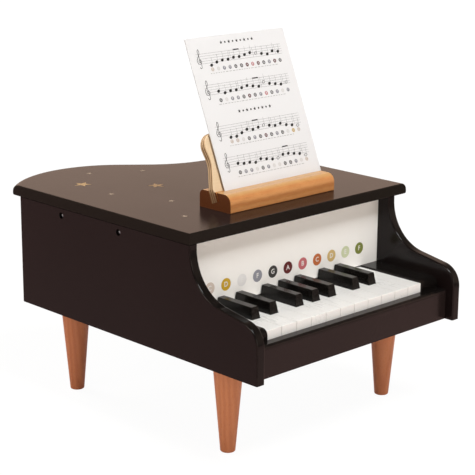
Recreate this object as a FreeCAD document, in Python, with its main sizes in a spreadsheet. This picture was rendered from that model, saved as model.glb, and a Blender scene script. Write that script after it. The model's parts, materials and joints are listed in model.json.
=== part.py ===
"""Toy grand piano: painted case on three beech legs, eighteen keys that work hammers under steel bars.

Millimetres, +Z up, origin on the floor under the middle of the part's box.
Plan places are measured from the case: x from its middle, y from the tips of its arms, z from the floor.
"""
import FreeCAD, Part
import math
import os
import re

import Sketcher

NOTES = ["c1", "c1_sharp", "d1", "d1_sharp", "e1", "f1", "f1_sharp", "g1", "g1_sharp", "a1", "a1_sharp", "b1",
         "c2", "c2_sharp", "d2", "d2_sharp", "e2", "f2"]
NATURALS = [note for note in NOTES if not note.endswith("sharp")]

SIZES = {
    # Keyboard
    "key_pitch": 21,
    "key_gap": 0.4,
    "key_thickness": 16,
    "key_level": 41.6,
    "key_front": 24,
    "key_tail": 222,
    "key_pivot": 150,
    "key_pivot_drop": 10.4,
    "key_dip": 6,
    "key_edge_round": 0.4,
    "sharp_width": 11.7,
    "sharp_top_width": 9,
    "sharp_height": 11.7,
    "sharp_front": 56.8,
    "sharp_front_slope": 2.2,
    "sharp_rear": 107.6,
    "sharp_gap": 0.7,
    "sharp_edge_round": 0.9,
    # Case walls
    "side_thickness": 10.4,
    "side_height": 118.2,
    "left_side_length": 366.2,
    "arm_nose": 55.6,
    "arm_heel": 71.7,
    "nose_radius": 23,
    "heel_radius": 50,
    "arm_edge_round": 1.6,
    "rear_edge_round": 1.5,
    "bottom_thickness": 9,
    "bottom_clearance": 0.3,
    "rail_setback": 10.4,
    "rail_thickness": 12,
    "rail_height": 32.6,
    "rail_round": 4,
    "cheek_width": 25.6,
    "cheek_rise": 2,
    "cheek_round": 7,
    "bearer_height": 68,
    "bearer_rear": 226,
    "panel_setback": 108.3,
    "panel_thickness": 6,
    # Bent rear wall: three straight runs, each with the y where its line crosses x = 0, and its bends
    "shoulder_line": 332.8,
    "shoulder_angle": 6,
    "slant_line": 368.1,
    "slant_angle": 40.5,
    "tail_angle": 42,
    "shoulder_radius": 65,
    "waist_radius": 114,
    "tail_radius": 95,
    "least_straight": 2,
    "rim_lead": 10,
    # Lid
    "lid_front": 93.4,
    "lid_thickness": 12,
    "lid_right_overhang": 19,
    "lid_rear_overhang": 11,
    "lid_tail_overhang": 16.34,
    "lid_tail_radius": 114,
    "lid_outer_round": 8,
    "lid_under_round": 2,
    "lid_front_round": 1.2,
    # Legs
    "leg_height": 96.8,
    "leg_top_radius": 15.9,
    "leg_foot_radius": 7.6,
    "leg_foot_round": 1.5,
    "leg_side_inset": 34.5,
    "front_leg_setback": 75,
    "rear_leg_setback": 49.2,
    "stud_radius": 3,
    "stud_in_leg": 30,
    "stud_short": 1,
    "stud_clearance": 0.2,
    # Key and hammer action
    "key_rod_radius": 2.5,
    "hammer_rod_radius": 2,
    "rod_clearance": 0.08,
    "rod_seat": 20,
    "batten_width": 14,
    "front_batten_setback": 36,
    "rear_batten_setback": 192,
    "felt_thickness": 3,
    "felt_gap": 0.3,
    "hammer_hinge": 196,
    "hammer_hinge_rise": 13.6,
    "hammer_width": 7,
    "hammer_arm": 9,
    "hammer_butt_round": 4.2,
    "hammer_heel": 214,
    "hammer_heel_length": 8,
    "hammer_heel_round": 3,
    "hammer_heel_gap": 0.5,
    "hammer_head": 247,
    "hammer_head_length": 8,
    "hammer_head_round": 3,
    "strike_gap": 0.4,
    # Tone bars, hung from two rails under the lid
    "bar_length": 160,
    "bar_width": 8.5,
    "bar_thickness": 3,
    "bar_node_share": 0.276,
    "bar_felt_width": 10,
    "tone_rail_width": 14,
    "tone_rail_height": 15,
    "pin_radius": 1.5,
    "pin_clearance": 0.3,
    "pin_in_rail": 9,
    "pin_head_radius": 2.6,
    "pin_head_height": 1.6,
    "screw_radius": 1.7,
    "screw_clearance": 0.15,
    "screw_in_rail": 20,
    "screw_head_radius": 3.3,
    "screw_head_height": 1.6,
    "screw_sink": 0.8,
    # Music stand
    "stand_length": 153.5,
    "stand_offset": 7.45,
    "stand_front": 122.5,
    "stand_depth": 45.7,
    "stand_height": 18.4,
    "stand_front_round": 9,
    "stand_rear_round": 6,
    "stand_foot_round": 0.8,
    "stand_lean": 22.4,
    "card_slot_setback": 20.3,
    "card_slot_depth": 9,
    "card_fit": 0.3,
    "card_width": 143,
    "card_height": 169,
    "card_thickness": 0.8,
    "card_offset": 13.9,
    "backrest_slot_setback": 23.9,
    "backrest_slot_depth": 10.5,
    "backrest_fit": 0.15,
    "backrest_thickness": 8,
    "backrest_rise": 57,
    "backrest_waist": 26,
    "backrest_waist_inset": 7.5,
    "backrest_waist_radius": 30,
    "backrest_top_inset": 1,
    "backrest_top_radius": 14,
    "backrest_edge_round": 1.2,
    # One overrun serves every cut
    "overrun": 2,
}


def bent_lines(offset, tail_offset):
    """Rear wall's three lines, moved outwards by offsets: each one's y at x = 0, and x where they cross."""
    shoulder = f"(shoulder_line + ({offset}) / cos(shoulder_angle))"
    slant = f"(slant_line + ({offset}) / cos(slant_angle))"
    tail = f"(tail_line + ({tail_offset}) / cos(tail_angle))"
    waist_x = f"(({slant} - {shoulder}) / (tan(slant_angle) - tan(shoulder_angle)))"
    tail_x = f"(({slant} - {tail}) / (tan(tail_angle) + tan(slant_angle)))"
    return shoulder, slant, tail, waist_x, tail_x


def limited_tail(left, offset, tail_offset, radius):
    """Radius of the tail's bend, limited by the straight runs beside it."""
    *_, waist_x, tail_x = bent_lines(offset, tail_offset)
    tail_run = f"({tail_x} - ({left})) / cos(tail_angle)"
    waist_end = f"(waist_radius - ({offset})) * tan((slant_angle - shoulder_angle) / 2)"
    slant_run = f"({waist_x} - {tail_x}) / cos(slant_angle) - {waist_end}"
    return f"min({radius}; (min({tail_run}; {slant_run}) - least_straight) / tan((tail_angle + slant_angle) / 2))"


# Places and sizes that follow from the ones above
DERIVED = {
    "keyboard_half": f"{len(NATURALS)} * key_pitch / 2",
    "inner_half": "keyboard_half + cheek_width",
    "case_half": "inner_half + side_thickness",
    "bottom_top": "leg_height + bottom_thickness",
    "key_top": "leg_height + key_level",
    "key_bottom": "key_top - key_thickness",
    "key_pivot_z": "key_top - key_pivot_drop",
    "key_swing": "atan(key_dip / (key_pivot - key_front))",
    "cheek_top": "key_top + cheek_rise",
    "arm_slope": "atan((arm_heel - arm_nose) / lid_front)",
    "heel_wall": "side_height - arm_heel - arm_edge_round",
    "heel_arc": "min(heel_radius; heel_wall / tan((90 deg - arm_slope) / 2))",
    "rail_rear": "rail_setback + rail_thickness",
    "panel_rear": "panel_setback + panel_thickness",
    "lid_under": "leg_height + side_height",
    "lid_top": "lid_under + lid_thickness",
    "tail_line": "left_side_length + inner_half * tan(tail_angle)",
    "shoulder_corner": "shoulder_line - case_half * tan(shoulder_angle)",
    "right_side_length": "shoulder_corner - shoulder_radius * tan((90 - shoulder_angle) / 2) - rim_lead",
    "tail_arc": limited_tail("-inner_half", "0", "0", "tail_radius"),
    "lid_tail_arc": limited_tail("-case_half", "lid_rear_overhang", "lid_tail_overhang", "lid_tail_radius"),
    "tail_slant": "slant_line + (lid_rear_overhang - lid_tail_arc) / cos(slant_angle)",
    "tail_slope": "tail_line + (lid_tail_overhang - lid_tail_arc) / cos(tail_angle)",
    "tail_centre_x": "(tail_slant - tail_slope) / (tan(tail_angle) + tan(slant_angle))",
    "depth": "tail_slant - tail_centre_x * tan(slant_angle) + lid_tail_arc",
    "case_x": "-lid_right_overhang / 2",
    "case_y": "-depth / 2",
    "sharp_half": "sharp_width / 2 + sharp_gap",
    "front_felt_top": "key_bottom - felt_gap"
                      " - key_dip * (key_pivot - front_batten_setback) / (key_pivot - key_front)",
    "rear_felt_top": "key_bottom - felt_gap",
    "hammer_hinge_z": "key_top + hammer_hinge_rise",
    "hammer_swing": "key_swing * (hammer_heel - key_pivot) / (hammer_heel - hammer_hinge)",
    "tone_rail_under": "lid_under - tone_rail_height",
    "bar_top": "tone_rail_under - felt_thickness",
    "bar_under": "bar_top - bar_thickness",
    "hammer_top": "bar_under - strike_gap"
                  " - (hammer_head + hammer_head_length / 2 - hammer_hinge) * sin(hammer_swing)",
    "screw_level": "lid_under - tone_rail_height / 2",
    "stand_top": "lid_top + stand_height",
    "card_slot_width": "card_thickness + 2 * card_fit",
    "backrest_slot_width": "backrest_thickness + 2 * backrest_fit",
}

ALONG_X = FreeCAD.Rotation(FreeCAD.Vector(0, 1, 0), 90)
TOLERANCE = 1e-4

doc = FreeCAD.newDocument("ToyPiano")
sheet = doc.addObject("Spreadsheet::Sheet", "Sizes")
for row, (size_name, size) in enumerate(SIZES.items(), start=1):
    sheet.set(f"A{row}", size_name)
    sheet.set(f"B{row}", str(size))
    sheet.setAlias(f"B{row}", size_name)
doc.recompute()
nodes = []


def formula(text):
    """Expression for the document, from a formula in the names above."""
    def expand(match):
        word = match.group(0)
        if word in DERIVED:
            return f"({formula(DERIVED[word])})"
        return f"Sizes.{word}" if word in SIZES else word
    return re.sub(r"[A-Za-z_]\w*", expand, text)


def number(text):
    """Present value of a formula."""
    found = sheet.evalExpression(formula(text))
    return float(getattr(found, "Value", found))


def bind(item, **formulas):
    """Tie properties of a document object to formulas."""
    for name, text in formulas.items():
        item.setExpression(name, formula(text))


def put(item, x, y, z):
    """Tie an object's place, in its own frame, to formulas."""
    for axis, text in zip("xyz", (x, y, z)):
        item.setExpression(f"Placement.Base.{axis}", formula(text))


def put_in_case(item, x="0", y="0", z="0"):
    """Tie a sub-part's place to formulas in the case's plan."""
    put(item, f"case_x + {x}", f"case_y + {y}", z)


def finish(item, label):
    """Name a finished sub-part."""
    item.Label = label
    nodes.append(item)
    return item


def new_body(label, x="0", y="0", z="0"):
    body = doc.addObject("PartDesign::Body", "Body_" + label)
    put_in_case(body, x, y, z)
    return finish(body, label)


def new_sketch(body, name, plane, level="0"):
    """Sketch on one of the body's own origin planes, raised by a formula."""
    sketch = body.newObject("Sketcher::SketchObject", f"{body.Name}_{name}")
    origin_plane = next(item for item in body.Origin.OriginFeatures if item.Role == plane)
    sketch.AttachmentSupport = [(origin_plane, "")]
    sketch.MapMode = "FlatFace"
    sketch.setExpression("AttachmentOffset.Base.z", formula(level))
    return sketch


def pin_point(sketch, geometry, end, across, up):
    """Hold a point of the sketch at two formulas, counted from the sketch's origin."""
    for kind, text in (("DistanceX", across), ("DistanceY", up)):
        held = sketch.addConstraint(Sketcher.Constraint(kind, -1, 1, geometry, end, number(text)))
        sketch.setExpression(f"Constraints[{held}]", formula(text))


def draw_outline(sketch, corners, closed=True):
    """Straight runs between corners (across, up, radius), with a tangent arc wherever a radius is given."""
    points = [FreeCAD.Vector(number(across), number(up), 0) for across, up, _ in corners]
    count = len(points)
    starts, ends, arcs = list(points), list(points), {}
    for index, (_, _, radius) in enumerate(corners):
        if radius == "0":
            continue
        corner, size = points[index], number(radius)
        back = (points[index - 1] - corner).normalize()
        ahead = (points[(index + 1) % count] - corner).normalize()
        half_angle = back.getAngle(ahead) / 2
        ends[index] = corner + back * (size / math.tan(half_angle))
        starts[index] = corner + ahead * (size / math.tan(half_angle))
        inward = (back + ahead).normalize()
        middle = corner + inward * (size / math.sin(half_angle) - size)
        arcs[index] = Part.Arc(ends[index], middle, starts[index])
    runs = range(count if closed else count - 1)
    lines = [sketch.addGeometry(Part.LineSegment(starts[i], ends[(i + 1) % count])) for i in runs]
    for index, (across, up, radius) in enumerate(corners):
        before = lines[index - 1] if closed or index else None
        after = lines[index] if index < len(lines) else None
        if index in arcs:
            arc = sketch.addGeometry(arcs[index])
            corner = sketch.addGeometry(Part.Point(points[index]), True)
            runs_on = sketch.getPoint(arc, 1).isEqual(ends[index], TOLERANCE)
            first_end, last_end = (1, 2) if runs_on else (2, 1)
            sketch.addConstraint(Sketcher.Constraint("Tangent", before, 2, arc, first_end))
            sketch.addConstraint(Sketcher.Constraint("Tangent", arc, last_end, after, 1))
            sketch.addConstraint(Sketcher.Constraint("PointOnObject", corner, 1, before))
            sketch.addConstraint(Sketcher.Constraint("PointOnObject", corner, 1, after))
            held = sketch.addConstraint(Sketcher.Constraint("Radius", arc, number(radius)))
            sketch.setExpression(f"Constraints[{held}]", formula(radius))
            pin_point(sketch, corner, 1, across, up)
        elif after is None:
            pin_point(sketch, before, 2, across, up)
        else:
            if before is not None:
                sketch.addConstraint(Sketcher.Constraint("Coincident", before, 2, after, 1))
            pin_point(sketch, after, 1, across, up)
    return sketch


def pad_outline(body, name, plane, corners, length, level="0"):
    """Board or block: an outline on one of the body's planes, padded along that plane's normal."""
    pad = body.newObject("PartDesign::Pad", f"{body.Name}_{name}_pad")
    pad.Profile = draw_outline(new_sketch(body, name, plane, level), corners)
    bind(pad, Length=length)
    doc.recompute()
    return pad


def cut_round(body, name, along, radius, length, x, y, z):
    """Round hole through a body, along its X or Z axis from the given start."""
    hole = body.newObject("PartDesign::SubtractiveCylinder", f"{body.Name}_{name}")
    if along == "X":
        hole.Placement = FreeCAD.Placement(FreeCAD.Vector(), ALONG_X)
    bind(hole, Radius=radius, Height=length)
    put(hole, x, y, z)
    doc.recompute()
    return hole


def round_edges(body, name, radius, chosen):
    """Round those edges of the body's latest feature whose middle and ends the test accepts."""
    feature = body.Tip
    names = []
    for index, edge in enumerate(feature.Shape.Edges, start=1):
        middle = edge.valueAt((edge.FirstParameter + edge.LastParameter) / 2)
        if chosen(middle, [vertex.Point for vertex in edge.Vertexes]):
            names.append(f"Edge{index}")
    fillet = body.newObject("PartDesign::Fillet", f"{body.Name}_{name}")
    fillet.Base = (feature, names)
    bind(fillet, Radius=radius)
    doc.recompute()
    return fillet


def near(first, second):
    return abs(first - second) < TOLERANCE


def new_box(name, x, y, z, length, width, height):
    """Plain squared piece."""
    box = doc.addObject("Part::Box", name)
    bind(box, Length=length, Width=width, Height=height)
    put_in_case(box, x, y, z)
    return box


def new_rod(name, along, radius, length, x, y, z):
    """Plain round piece along X or Z, from its start."""
    rod = doc.addObject("Part::Cylinder", name)
    if along == "X":
        rod.Placement = FreeCAD.Placement(FreeCAD.Vector(), ALONG_X)
    bind(rod, Radius=radius, Height=length)
    put_in_case(rod, x, y, z)
    return rod


def join(name, first, second):
    fuse = doc.addObject("Part::Fuse", name)
    fuse.Base = first
    fuse.Tool = second
    return fuse


def cut(name, base, tool):
    """A piece, or a group of pieces, less a tool."""
    result = doc.addObject("Part::Cut", name)
    result.Base = base
    result.Tool = tool
    return result


def group(name, pieces):
    """Several like solids in one object."""
    compound = doc.addObject("Part::Compound", name)
    compound.Links = pieces
    return compound


# Plan of the keyboard, the hammers and the tone bars

def naturals_before(index):
    return len([note for note in NOTES[:index] if note in NATURALS])


def is_sharp(index):
    return 0 <= index < len(NOTES) and NOTES[index] not in NATURALS


def pitch_line(index):
    """x of the line on the left of a white key."""
    return f"(-keyboard_half + {naturals_before(index)} * key_pitch)"


def run_start(index):
    """First key of a run in which white and black keys alternate."""
    while is_sharp(index) or is_sharp(index - 1):
        index -= 1
    return index


def tail_width(index):
    """Width of the white tails in a run: they share equally what its black keys leave."""
    whites = 1
    while is_sharp(run_start(index) + 2 * whites - 1):
        whites += 1
    return f"(key_pitch - (key_gap + {whites - 1} * 2 * sharp_half) / {whites})"


def tail_left(index):
    """x of the left side of a white key's tail, or of the room for a black key."""
    first = run_start(index)
    blacks_before, odd = divmod(index - first, 2)
    whites_before = blacks_before + odd
    return (f"({pitch_line(first)} + key_gap / 2 + {whites_before} * {tail_width(index)}"
            f" + {blacks_before} * 2 * sharp_half)")


def note_line(index):
    """x of the middle of a key's tail, its hammer and its tone bar."""
    half = "sharp_half" if is_sharp(index) else f"{tail_width(index)} / 2"
    return f"({tail_left(index)} + {half})"


def note_bar_length(index):
    """A semitone shortens a bar by the twenty-fourth root of two."""
    return f"(bar_length * 2 ^ (-{index} / 24))"


def rail_line(sign, x):
    """y of a tone rail's middle at x. It runs through the nodes of the longest and the shortest bar."""
    last = len(NOTES) - 1
    share = f"(({x}) - {note_line(0)}) / ({note_line(last)} - {note_line(0)})"
    longest, shortest = note_bar_length(0), note_bar_length(last)
    return f"(hammer_head {sign} bar_node_share * ({longest} + ({shortest} - {longest}) * {share}))"


# Screws through the side walls into the ends of the tone rails: the wall's outer face, the way in, and y
RAIL_SCREWS = {
    "left_front": ("-case_half", 1, rail_line("-", "-inner_half")),
    "left_rear": ("-case_half", 1, rail_line("+", "-inner_half")),
    "right_front": ("case_half", -1, rail_line("-", "inner_half")),
}


def screw_rod(name, screw, radius, start, end):
    """Rod on a rail screw's axis, between two depths below the wall's outer face."""
    face, inward, y = RAIL_SCREWS[screw]
    depth = start if inward > 0 else end
    return new_rod(f"{name}_{screw}", "X", radius, f"({end}) - ({start})",
                   f"{face} + {inward} * ({depth})", y, "screw_level")


# Case

def bent_outline(front, left, right, offset, tail_offset, tail_bend):
    """Plan of the case with its bent rear wall, the wall's outer face moved outwards by offsets."""
    shoulder, slant, tail, waist_x, tail_x = bent_lines(offset, tail_offset)
    return [
        (left, front, "0"),
        (right, front, "0"),
        (right, f"{shoulder} - ({right}) * tan(shoulder_angle)", f"shoulder_radius + ({offset})"),
        (waist_x, f"{shoulder} - {waist_x} * tan(shoulder_angle)", f"waist_radius - ({offset})"),
        (tail_x, f"{slant} - {tail_x} * tan(slant_angle)", tail_bend),
        (left, f"{tail} + ({left}) * tan(tail_angle)", "0"),
    ]


def side_panel(label, left, length, screws):
    """Board with an S-shaped arm at its front end, and sunk holes for the rail screws."""
    body = new_body(label, x=left, z="leg_height")
    pad_outline(body, "profile", "YZ_Plane", [
        ("0", "0", "0"),
        ("0", "arm_nose", "nose_radius"),
        ("lid_front", "arm_heel", "heel_arc"),
        ("lid_front", "side_height", "0"),
        (length, "side_height", "0"),
        (length, "0", "0"),
    ], "side_thickness")
    front, thickness = number("lid_front"), number("side_thickness")

    def on_arm(middle, ends):
        on_face = near(middle.x, 0) or near(middle.x, thickness)
        return on_face and all(point.y < front + TOLERANCE for point in ends)

    round_edges(body, "arm_round", "arm_edge_round", on_arm)
    sunk = "screw_sink + screw_head_height"
    for screw in screws:
        _, inward, y = RAIL_SCREWS[screw]
        level = "screw_level - leg_height"
        cut_round(body, f"{screw}_hole", "X", "screw_radius + screw_clearance",
                  "side_thickness + 2 * overrun", "-overrun", y, level)
        start = "-overrun" if inward > 0 else f"side_thickness - ({sunk})"
        cut_round(body, f"{screw}_sink", "X", "screw_head_radius + screw_clearance",
                  f"overrun + {sunk}", start, y, level)
    return body


def left_side_panel():
    body = side_panel("left_side_panel", "-case_half", "left_side_length", ["left_front", "left_rear"])
    rear = number("left_side_length")
    round_edges(body, "rear_round", "rear_edge_round",
                lambda middle, ends: near(middle.x, 0) and all(near(point.y, rear) for point in ends))


def right_side_panel():
    side_panel("right_side_panel", "inner_half", "right_side_length", ["right_front"])


def rim():
    """Strip bent round the rear of the case, from the right panel's end to the left panel's inner face."""
    body = new_body("rim", y="right_side_length", z="leg_height")
    corners = bent_outline("right_side_length", "-case_half", "case_half", "0", "0", "tail_arc")[1:]
    path = [(x, f"{y} - right_side_length", radius) for x, y, radius in corners]
    pipe = body.newObject("PartDesign::AdditivePipe", "Rim_pipe")
    pipe.Profile = draw_outline(new_sketch(body, "section", "XZ_Plane"), [
        ("inner_half", "0", "0"),
        ("case_half", "0", "0"),
        ("case_half", "side_height", "0"),
        ("inner_half", "side_height", "0"),
    ])
    spine = draw_outline(new_sketch(body, "path", "XY_Plane"), path, closed=False)
    doc.recompute()
    pipe.Spine = (spine, [f"Edge{index}" for index in range(1, len(spine.Shape.Edges) + 1)])
    doc.recompute()
    trim = body.newObject("PartDesign::SubtractiveBox", "Rim_trim")
    bind(trim, Length="2 * side_thickness", Width="depth", Height="side_height + 2 * overrun")
    put(trim, "-inner_half - 2 * side_thickness", "0", "-overrun")
    doc.recompute()


def bottom_board():
    """Board between the walls, with holes for the leg studs."""
    body = new_body("bottom_board", z="leg_height")
    gap = "bottom_clearance"
    inset = f"-side_thickness - {gap}"
    outline = bent_outline("rail_rear", f"-inner_half + {gap}", f"inner_half - {gap}", inset, inset,
                           f"tail_arc + {inset}")
    pad_outline(body, "plan", "XY_Plane", outline, "bottom_thickness")
    for name, (x, y) in LEGS.items():
        cut_round(body, f"{name}_hole", "Z", "stud_radius + stud_clearance",
                  "bottom_thickness + 2 * overrun", x, y, "-overrun")


def lid():
    """Board that ends flush with the left panel and stands proud elsewhere, its outer edge rounded over."""
    body = new_body("lid", z="lid_under")
    outline = bent_outline("lid_front", "-case_half", "case_half + lid_right_overhang", "lid_rear_overhang",
                           "lid_tail_overhang", "lid_tail_arc")
    pad_outline(body, "plan", "XY_Plane", outline, "lid_thickness")
    front, left, top = number("lid_front"), number("-case_half"), number("lid_thickness")

    def is_plain(middle):
        return near(middle.y, front) or near(middle.x, left)

    round_edges(body, "outer_round", "lid_outer_round",
                lambda middle, ends: near(middle.z, top) and not is_plain(middle))
    round_edges(body, "under_round", "lid_under_round",
                lambda middle, ends: near(middle.z, 0) and not is_plain(middle))
    round_edges(body, "front_round", "lid_front_round",
                lambda middle, ends: near(middle.z, top) and is_plain(middle))


def front_rail():
    body = new_body("front_rail", x="-inner_half", z="leg_height")
    pad_outline(body, "profile", "YZ_Plane", [
        ("rail_setback", "0", "0"),
        ("rail_setback", "rail_height", "rail_round"),
        ("rail_rear", "rail_height", "0"),
        ("rail_rear", "0", "0"),
    ], "2 * inner_half")


def cheek_block(label, left):
    """Block beside the keys. Behind the white panel it rises and bears the ends of both rods."""
    body = new_body(label, x=left)
    pad_outline(body, "profile", "YZ_Plane", [
        ("rail_rear", "bottom_top", "0"),
        ("rail_rear", "cheek_top", "cheek_round"),
        ("panel_rear", "cheek_top", "0"),
        ("panel_rear", "leg_height + bearer_height", "0"),
        ("bearer_rear", "leg_height + bearer_height", "0"),
        ("bearer_rear", "bottom_top", "0"),
    ], "cheek_width")
    for rod, y, z in (("key_rod", "key_pivot", "key_pivot_z"), ("hammer_rod", "hammer_hinge", "hammer_hinge_z")):
        cut_round(body, f"{rod}_hole", "X", f"{rod}_radius + rod_clearance",
                  "cheek_width + 2 * overrun", "-overrun", y, z)


def name_panel():
    """White board behind the keys, standing on the cheek blocks."""
    finish(new_box("NamePanel", "-inner_half", "panel_setback", "cheek_top",
                   "2 * inner_half", "panel_thickness", "lid_under - (cheek_top)"), "name_panel")


# Legs

LEGS = {
    "rear_left_leg": ("-case_half + leg_side_inset", "left_side_length - rear_leg_setback"),
    "front_left_leg": ("-case_half + leg_side_inset", "front_leg_setback"),
    "front_right_leg": ("case_half - leg_side_inset", "front_leg_setback"),
}


def leg(label):
    """Turned tapered leg, bored from above for its stud."""
    body = new_body(label, *LEGS[label])
    cone = body.newObject("PartDesign::AdditiveCone", f"{body.Name}_cone")
    bind(cone, Radius1="leg_foot_radius", Radius2="leg_top_radius", Height="leg_height")
    doc.recompute()
    round_edges(body, "foot_round", "leg_foot_round", lambda middle, ends: near(middle.z, 0))
    cut_round(body, "stud_hole", "Z", "stud_radius + stud_clearance", "stud_in_leg + stud_short + overrun",
              "0", "0", "leg_height - stud_in_leg - stud_short")


def leg_studs():
    studs = [new_rod(f"Stud_{name}", "Z", "stud_radius", "stud_in_leg + bottom_thickness - stud_short",
                     x, y, "leg_height - stud_in_leg") for name, (x, y) in LEGS.items()]
    finish(group("LegStuds", studs), "leg_studs")


# Keys

def white_key(index):
    """White key: a full-width head, and a tail that narrows beside each black key."""
    body = new_body(f"key_{NOTES[index]}", x=pitch_line(index), z="key_bottom")
    left, right = "key_gap / 2", "key_pitch - key_gap / 2"
    notch = "sharp_front - sharp_gap"
    corners = [(left, "key_front", "0"), (right, "key_front", "0")]
    tail_start = f"{tail_left(index)} - {pitch_line(index)}"
    tail_end = f"{tail_start} + {tail_width(index)}"
    if is_sharp(index + 1):
        corners += [(right, notch, "0"), (tail_end, notch, "0")]
    corners += [(tail_end, "key_tail", "0"), (tail_start, "key_tail", "0")]
    if is_sharp(index - 1):
        corners += [(tail_start, notch, "0"), (left, notch, "0")]
    pad_outline(body, "plan", "XY_Plane", corners, "key_thickness")
    top, front = number("key_thickness"), number("key_front")
    round_edges(body, "top_round", "key_edge_round",
                lambda middle, ends: near(middle.z, top) or (near(middle.y, front) and middle.z > TOLERANCE))
    pivot_bore(body, "0")


def black_key(index):
    """Black key: a straight shank under a cap that narrows upwards and slopes at its front."""
    body = new_body(f"key_{NOTES[index]}", x=note_line(index), z="key_bottom")
    pad_outline(body, "shank", "XY_Plane", [
        ("-sharp_width / 2", "sharp_front", "0"),
        ("sharp_width / 2", "sharp_front", "0"),
        ("sharp_width / 2", "key_tail", "0"),
        ("-sharp_width / 2", "key_tail", "0"),
    ], "key_thickness")
    foot, crown = [draw_outline(new_sketch(body, name, "XY_Plane", level), [
        (f"-{width} / 2", front, "0"),
        (f"{width} / 2", front, "0"),
        (f"{width} / 2", "sharp_rear", "0"),
        (f"-{width} / 2", "sharp_rear", "0"),
    ]) for name, level, width, front in (
        ("cap_foot", "key_thickness", "sharp_width", "sharp_front"),
        ("cap_crown", "key_thickness + sharp_height", "sharp_top_width", "sharp_front + sharp_front_slope"))]
    cap = body.newObject("PartDesign::AdditiveLoft", f"{body.Name}_cap")
    cap.Profile = foot
    cap.Sections = [crown]
    cap.Ruled = True
    doc.recompute()
    foot_level = number("key_thickness")
    round_edges(body, "cap_round", "sharp_edge_round",
                lambda middle, ends: middle.z > foot_level + TOLERANCE)
    pivot_bore(body, "-sharp_width")


def pivot_bore(body, start):
    """Hole across a key for the rod that it pivots on."""
    cut_round(body, "bore", "X", "key_rod_radius + rod_clearance", "key_pitch + sharp_width",
              start, "key_pivot", "key_thickness - key_pivot_drop")


def key_stops():
    """Battens on the bottom board: the front one stops a pressed key, the rear one holds up its tail."""
    battens = []
    felts = []
    for name, y, felt_top in (("Front", "front_batten_setback", "front_felt_top"),
                              ("Rear", "rear_batten_setback", "rear_felt_top")):
        battens.append(new_box(f"{name}Batten", "-keyboard_half", y, "bottom_top", "2 * keyboard_half",
                               "batten_width", f"{felt_top} - felt_thickness - (bottom_top)"))
        felts.append(new_box(f"{name}Felt", "-keyboard_half", y, f"{felt_top} - felt_thickness",
                             "2 * keyboard_half", "batten_width", "felt_thickness"))
    finish(group("KeyBattens", battens), "key_battens")
    return felts


def rods():
    for label, y, z in (("key_rod", "key_pivot", "key_pivot_z"), ("hammer_rod", "hammer_hinge", "hammer_hinge_z")):
        finish(new_rod(label.title(), "X", f"{label}_radius", "2 * (keyboard_half + rod_seat)",
                       "-(keyboard_half + rod_seat)", y, z), label)


# Hammers and tone bars

def hammer(index):
    """Lever on the hammer rod. The key's tail lifts its heel, and its head strikes the bar from below."""
    body = new_body(f"hammer_{NOTES[index]}", x=f"{note_line(index)} - hammer_width / 2")
    low, high = "hammer_hinge_z - hammer_arm / 2", "hammer_hinge_z + hammer_arm / 2"
    butt = "hammer_hinge - hammer_arm / 2"
    heel_front, heel_rear = "hammer_heel - hammer_heel_length / 2", "hammer_heel + hammer_heel_length / 2"
    head_front, head_rear = "hammer_head - hammer_head_length / 2", "hammer_head + hammer_head_length / 2"
    heel = "key_top + hammer_heel_gap"
    pad_outline(body, "profile", "YZ_Plane", [
        (butt, low, "hammer_butt_round"),
        (heel_front, low, "0"),
        (heel_front, heel, "hammer_heel_round"),
        (heel_rear, heel, "hammer_heel_round"),
        (heel_rear, low, "0"),
        (head_rear, low, "hammer_head_round"),
        (head_rear, "hammer_top", "hammer_head_round"),
        (head_front, "hammer_top", "hammer_head_round"),
        (head_front, high, "0"),
        (butt, high, "hammer_butt_round"),
    ], "hammer_width")
    cut_round(body, "bore", "X", "hammer_rod_radius + rod_clearance", "hammer_width + 2 * overrun",
              "-overrun", "hammer_hinge", "hammer_hinge_z")


def tone_rail_strip(name, sign, width, right, z, thickness):
    """Strip along one tone rail, from the left wall to a given end."""
    body = doc.addObject("PartDesign::Body", "Body_" + name)
    put_in_case(body, z=z)
    left_y, right_y = rail_line(sign, "-inner_half"), rail_line(sign, right)
    pad_outline(body, "plan", "XY_Plane", [
        ("-inner_half", f"{left_y} - {width} / 2", "0"),
        (right, f"{right_y} - {width} / 2", "0"),
        (right, f"{right_y} + {width} / 2", "0"),
        ("-inner_half", f"{left_y} + {width} / 2", "0"),
    ], thickness)
    return body


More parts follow.
